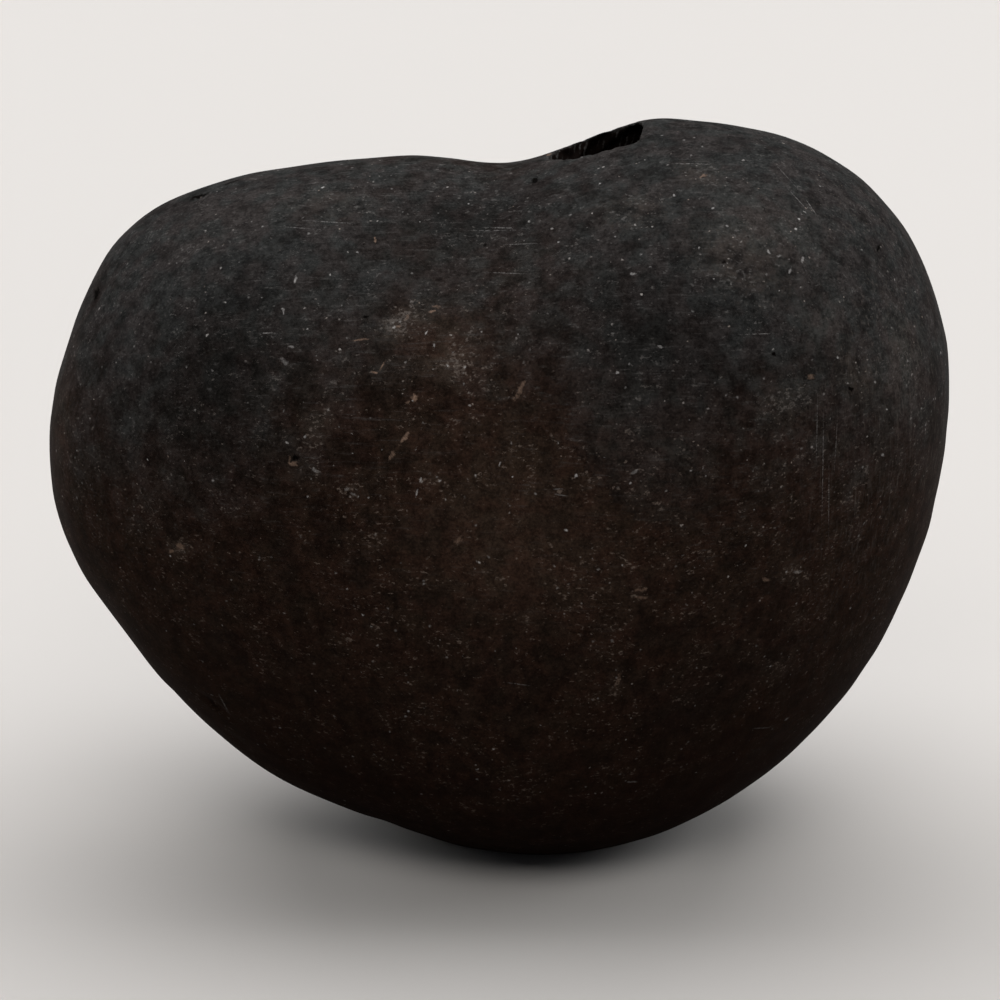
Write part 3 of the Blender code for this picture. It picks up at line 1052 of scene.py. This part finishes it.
# %% Rubbed lines and scratches
# Rubbed lines are a noise that is stretched a long way: level ones in the dust, upright ones on the
# right end, whose start and full strength are given in millimetres.
RUBBED = (0.085, 0.080, 0.077)
RUBBED_END = (0.110, 0.094, 0.083)
LEVEL_STRETCH = (0.22, 2.8, 3.4)
UPRIGHT_STRETCH = (3.2, 3.2, 0.20)
LINE_NOISE = (1.0, 3.0, 0.7)
LINE_EDGES = (0.52, 0.80)
LINE_DUST_EDGES = (0.72, 1.32)
LEVEL_STRENGTH = 0.90
UPRIGHT_STRENGTH = 0.50
RIGHT_END = (20.0, 33.0)
SCRATCH_EDGES = (0.35, 0.62)

level_lines = noise(tree, stretched(tree, millimetres, LEVEL_STRETCH), *LINE_NOISE)
line_dust = ramp(tree, dust_and_sheen_level, *LINE_DUST_EDGES)
line_mask = product(tree, ramp(tree, level_lines, *LINE_EDGES), line_dust, grit_mask, LEVEL_STRENGTH)
colour = blend(tree, line_mask, colour, RUBBED)
upright_lines = noise(tree, stretched(tree, millimetres, UPRIGHT_STRETCH), *LINE_NOISE)
right_end = ramp(tree, axes.outputs["X"], *RIGHT_END)
upright_mask = product(tree, ramp(tree, upright_lines, *LINE_EDGES), right_end, UPRIGHT_STRENGTH)
colour = blend(tree, upright_mask, colour, RUBBED_END)
scratch_mask, scratch_colour = placed("scratches")
scratch_mask = product(tree, scratch_mask, ramp(tree, grit, *SCRATCH_EDGES))
colour = blend(tree, scratch_mask, colour, scratch_colour)

# %% Dark pores, and painted shade in the dents
SMALL_PORES = {"Cells": 1.1, "Size": 0.20, "Share": 0.20}
dark_mask = sum_up(tree, "MAXIMUM", placed("pores")[0], grains(SMALL_PORES)["Strength"])
colour = blend(tree, dark_mask, colour, BLACK)

# %% Painted highlight on the rim, and ribs and painted shade in the mould
# The rim is painted pale as a highlight. Inside, fine grey riblets, partly shell and partly painted
# highlight, stand between grooves painted dark red as shade, and deeper in there is only that painted
# shade. Riblet = sine of 2 pi * distance along RIBLET_WAY / pitch. The mould and the painted shade begin
# and are complete at the given depths in millimetres.
RIM_HIGHLIGHT = (0.070, 0.066, 0.063)
RIM_HIGHLIGHT_STRENGTH = 0.55
RIBLET_GREY = (0.062, 0.059, 0.057)
RIBLET_WAY = (0.97, 0.0, -0.25)
RIBLET_PITCH = 0.55
RIBLET_BENDS = 9.0
RIBLET_EDGES = (0.2, 0.95)
RIBLET_GAPS = (0.38, 0.60)
TUNNEL_SHADE = (0.0045, 0.0026, 0.0020)
MOULD_DEPTHS = (0.0, 0.35)
TUNNEL_SHADE_DEPTHS = (1.5, 6.0)

rim_highlight_number, depth_number = (
    add_node(tree, "ShaderNodeAttribute", attribute_name=name).outputs["Fac"]
    for name in ("rim_highlight", "tunnel_depth")
)
across_riblets = add_node(tree, "ShaderNodeVectorMath", {0: millimetres, 1: RIBLET_WAY},
                          operation="DOT_PRODUCT").outputs["Value"]
bends = product(tree, mottle, RIBLET_BENDS)
riblet_turn = sum_up(tree, "MULTIPLY_ADD", across_riblets, 2 * math.pi / RIBLET_PITCH, bends)
riblets = ramp(tree, sum_up(tree, "SINE", riblet_turn), *RIBLET_EDGES)
riblets = product(tree, riblets, ramp(tree, mottle, *RIBLET_GAPS))
mould = blend(tree, product(tree, riblets, grit_mask), TUNNEL_SHADE, RIBLET_GREY)
colour = blend(tree, ramp(tree, depth_number, *MOULD_DEPTHS), colour, mould)
colour = blend(tree, ramp(tree, depth_number, *TUNNEL_SHADE_DEPTHS), colour, TUNNEL_SHADE)
rim_highlight_mask = product(tree, rim_highlight_number, grit_mask, RIM_HIGHLIGHT_STRENGTH)
colour = blend(tree, rim_highlight_mask, colour, RIM_HIGHLIGHT)

# %% Painted shade on the foot
# The lower part is painted darker as shade, and this reaches higher up towards both ends. It fades in
# between two heights in millimetres.
FOOT_SHADE_COLOUR = (0.0052, 0.0022, 0.0012)
FOOT_SHADE_HEIGHTS = (48.0, -12.0)
FOOT_SHADE_RISE_ASIDE = 20.0
FOOT_SHADE_STRENGTH = 0.95

foot_shade_height = sum_up(tree, "MULTIPLY_ADD", aside, -FOOT_SHADE_RISE_ASIDE, axes.outputs["Z"])
foot_shade = product(tree, ramp(tree, foot_shade_height, *FOOT_SHADE_HEIGHTS), FOOT_SHADE_STRENGTH)
colour = blend(tree, foot_shade, colour, FOOT_SHADE_COLOUR)

# %% Gloss, roughness and grain of the surface
GLOSS = 0.01
LEAST_ROUGHNESS = 0.48
DUST_ROUGHER = 0.10
GRIT_ROUGHER = 0.14
FOOT_ROUGHER = 0.25
LINES_IN_RELIEF = 0.5
RELIEF = {"Strength": 0.5, "Distance": 0.04 * MM}

shader.inputs["Specular IOR Level"].default_value = GLOSS
roughness = LEAST_ROUGHNESS
for layer, share in ((dust_and_sheen_mask, DUST_ROUGHER), (grit, GRIT_ROUGHER), (foot_shade, FOOT_ROUGHER)):
    roughness = sum_up(tree, "MULTIPLY_ADD", layer, share, roughness)
relief = sum_up(tree, "MULTIPLY_ADD", level_lines, LINES_IN_RELIEF, grit)
bump = add_node(tree, "ShaderNodeBump", {"Height": relief} | RELIEF)
tree.links.new(colour, shader.inputs["Base Color"])
tree.links.new(roughness, shader.inputs["Roughness"])
tree.links.new(bump.outputs["Normal"], shader.inputs["Normal"])
stone.data.materials.append(stone_material)
print("nodes in the stone's material:", len(tree.nodes))

# %% [markdown]
# ## Floor, light and tone
#
# A plain pale floor carries the stone. The light is soft, from large panels above and behind, with
# one on each side, so the front keeps its dark brown. The grey sheen on the crown and the cheeks is
# painted into the stone's colour.


# %% Floor
FLOOR_HALF = 3.0
FLOOR_COLOUR = (0.60, 0.575, 0.555, 1)
FLOOR_ROUGHNESS = 0.9
FLOOR_GLOSS = 0.1

corners = [(x * FLOOR_HALF, y * FLOOR_HALF, 0) for x, y in ((-1, -1), (1, -1), (1, 1), (-1, 1))]
floor_mesh = bpy.data.meshes.new("floor")
floor_mesh.from_pydata(corners, [], [(0, 1, 2, 3)])
floor = add_object("floor", floor_mesh)
floor_material = bpy.data.materials.new("pale_floor")
floor_material.use_nodes = True
floor_shader = floor_material.node_tree.nodes["Principled BSDF"]
floor_shader.inputs["Base Color"].default_value = FLOOR_COLOUR
floor_shader.inputs["Roughness"].default_value = FLOOR_ROUGHNESS
floor_shader.inputs["Specular IOR Level"].default_value = FLOOR_GLOSS
floor.data.materials.append(floor_material)

# %% Light panels
# Each panel: place in metres from the stone's middle, width, height, power in watts, colour. All face
# the stone's middle.
PANELS = {
    "sky_panel": ((0.0, 0.60, 1.50), 2.4, 1.6, 36.0, (1.0, 1.0, 1.0)),
    "left_panel": ((-0.90, 0.25, 0.45), 0.5, 0.6, 3.0, (0.97, 0.99, 1.0)),
    "right_panel": ((0.90, 0.15, 0.45), 0.5, 0.6, 4.0, (0.97, 0.99, 1.0)),
    "front_fill": ((0.0, -0.90, 1.30), 1.2, 0.6, 6.0, (1.0, 0.98, 0.95)),
}

for name, (offset, width, height, power, colour) in PANELS.items():
    data = bpy.data.lights.new(name, "AREA")
    data.shape = "RECTANGLE"
    data.size = width
    data.size_y = height
    data.energy = power
    data.color = colour
    panel = add_object(name, data)
    panel.location = STONE_MIDDLE + np.array(offset)
    away = unit(np.array(offset))
    panel.rotation_euler = (math.acos(away[2]), 0.0, math.atan2(away[0], -away[1]))

# %% World and tone
WORLD_COLOUR = (0.9, 0.93, 1.0, 1)
WORLD_STRENGTH = 0.05
world = bpy.data.worlds.new("studio")
world.use_nodes = True
backdrop = world.node_tree.nodes["Background"]
backdrop.inputs["Color"].default_value = WORLD_COLOUR
backdrop.inputs["Strength"].default_value = WORLD_STRENGTH
bpy.context.scene.world = world
bpy.context.scene.view_settings.view_transform = "Standard"
